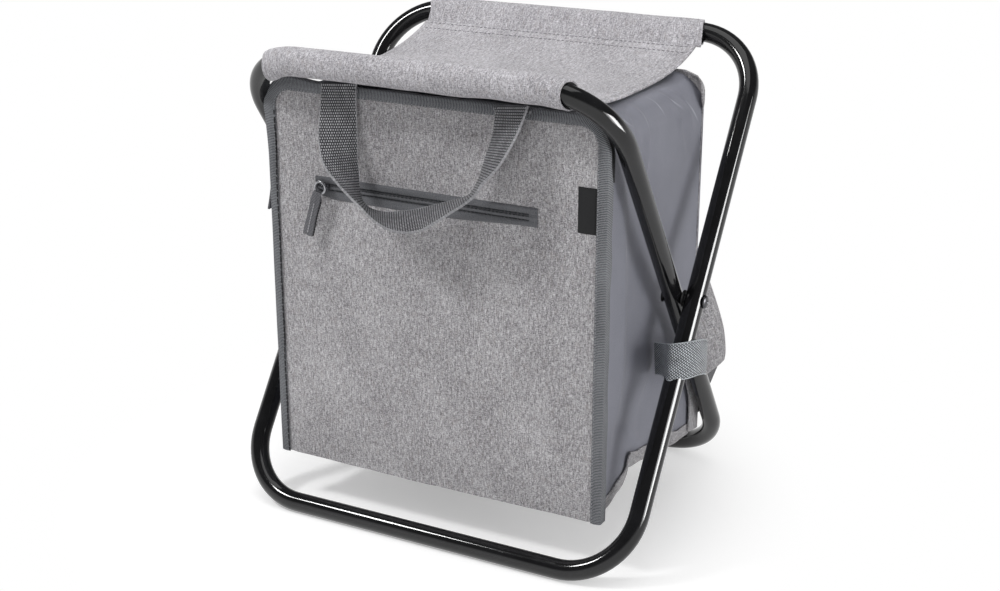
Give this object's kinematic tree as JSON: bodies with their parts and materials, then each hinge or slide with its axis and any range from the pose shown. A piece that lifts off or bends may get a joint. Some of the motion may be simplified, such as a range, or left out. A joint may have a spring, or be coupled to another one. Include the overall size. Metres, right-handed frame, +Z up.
{
  "type": "folding cooler stool",
  "caption": "Folding stool on crossed tube legs with a sling seat and a soft insulated bag hung beneath, with a zipped flap, a zipped pocket, a carry handle and shoulder straps.",
  "frame": {"origin": "on the floor under the middle of the stool, in the middle of its bounding box", "axes": "+Z up, +X to the right seen from the front, +Y to the rear; the seat rails run along X"},
  "size_m": [0.3736, 0.285, 0.3945],
  "materials": {
    "paint": "gloss black powder coat",
    "steel": "plated steel",
    "nylon": "moulded black nylon",
    "seat_cloth": "light grey melange woven polyester",
    "bag_cloth": "grey melange woven polyester",
    "slate_cloth": "smooth slate grey woven polyester",
    "binding": "dark grey ribbed webbing",
    "webbing": "dark grey ribbed webbing",
    "pale_webbing": "mid grey herringbone webbing",
    "zip_tape": "dark grey coil zip on woven tape",
    "gunmetal": "dark nickel die-cast",
    "label": "black satin woven label, bare",
    "foam": "soft closed-cell foam",
    "foil": "silvered waterproof film"
  },
  "bodies": {
    "outer_leg_frame": {"outer_frame": "paint", "outer_frame_joiner": "steel", "rear_sleeve": "seat_cloth", "left_pivot_rivet": "steel", "right_pivot_rivet": "steel", "left_pivot_washer": "nylon", "right_pivot_washer": "nylon", "seat_panel": "seat_cloth", "left_gusset": "slate_cloth", "right_gusset": "slate_cloth", "top_cover": "slate_cloth", "bottom_panel": "slate_cloth", "left_gusset_foam": "foam", "right_gusset_foam": "foam", "bottom_foam": "foam", "foil_liner": "foil", "left_leg_loop": "pale_webbing", "right_leg_loop": "pale_webbing"},
    "inner_leg_frame": {"inner_frame": "paint", "inner_frame_joiner": "steel", "front_sleeve": "seat_cloth"},
    "front_bag_panel": {"front_panel": "bag_cloth", "front_foam": "foam", "pocket_lining": "slate_cloth", "left_edge_binding": "binding", "right_edge_binding": "binding", "main_zip_tape": "zip_tape", "main_zip_pull": "zip_tape", "pocket_zip_tape": "zip_tape", "side_label": "label"},
    "bag_flap": {"front_flap": "bag_cloth", "flap_foam": "foam", "flap_binding": "binding", "left_handle_fold": "webbing", "right_handle_fold": "webbing"},
    "handle_loop": {"carry_handle": "webbing"},
    "pocket_slider": {"pocket_zip_slider": "gunmetal"},
    "pocket_pull": {"pocket_pull_ring": "gunmetal", "pocket_pull_tab": "binding"},
    "main_slider": {"main_zip_slider": "gunmetal"},
    "back_bag_panel": {"back_panel": "bag_cloth", "back_foam": "foam", "left_shoulder_strap": "bag_cloth", "right_shoulder_strap": "bag_cloth", "left_strap_tail": "webbing", "right_strap_tail": "webbing"}
  },
  "joints": [
    {"name": "fold", "type": "hinge", "parent": "outer_leg_frame", "child": "inner_leg_frame", "pos_m": [0, 0, 0.196], "axis": [-1, 0, 0], "range_deg": [0, 48], "deforming": ["seat_panel", "left_gusset", "right_gusset", "top_cover", "bottom_panel", "left_gusset_foam", "right_gusset_foam", "bottom_foam", "foil_liner", "left_leg_loop", "right_leg_loop", "left_shoulder_strap", "right_shoulder_strap", "left_strap_tail", "right_strap_tail", "main_zip_pull"]},
    {"name": "front_panel_hang", "type": "hinge", "parent": "inner_leg_frame", "child": "front_bag_panel", "pos_m": [0, -0.132, 0.384], "axis": [-1, 0, 0], "range_deg": [-24, 0]},
    {"name": "back_panel_hang", "type": "hinge", "parent": "outer_leg_frame", "child": "back_bag_panel", "pos_m": [0, 0.132, 0.384], "axis": [-1, 0, 0], "range_deg": [0, 24]},
    {"name": "flap_open", "type": "hinge", "parent": "front_bag_panel", "child": "bag_flap", "pos_m": [0, -0.113, 0.3122], "axis": [1, 0, 0], "range_deg": [0, 95]},
    {"name": "handle_hang", "type": "hinge", "parent": "bag_flap", "child": "handle_loop", "pos_m": [0, -0.1147, 0.361], "axis": [1, 0, 0], "range_deg": [-95, 0]},
    {"name": "pocket_slider_travel", "type": "slide", "parent": "front_bag_panel", "child": "pocket_slider", "axis": [1, 0, 0], "range_m": [0, 0.175]},
    {"name": "pocket_pull_swing", "type": "hinge", "parent": "pocket_slider", "child": "pocket_pull", "pos_m": [-0.0955, -0.1183, 0.2815], "axis": [0, 1, 0], "range_deg": [-60, 90]},
    {"name": "main_slider_travel", "type": "slide", "parent": "front_bag_panel", "child": "main_slider", "axis": [0, 0, 1], "range_m": [0, 0.009]}
  ],
  "couplings": [
    {"joint": "front_panel_hang", "follows": "fold", "ratio": -0.5},
    {"joint": "back_panel_hang", "follows": "fold", "ratio": 0.5},
    {"joint": "handle_hang", "follows": "flap_open", "ratio": -1}
  ]
}
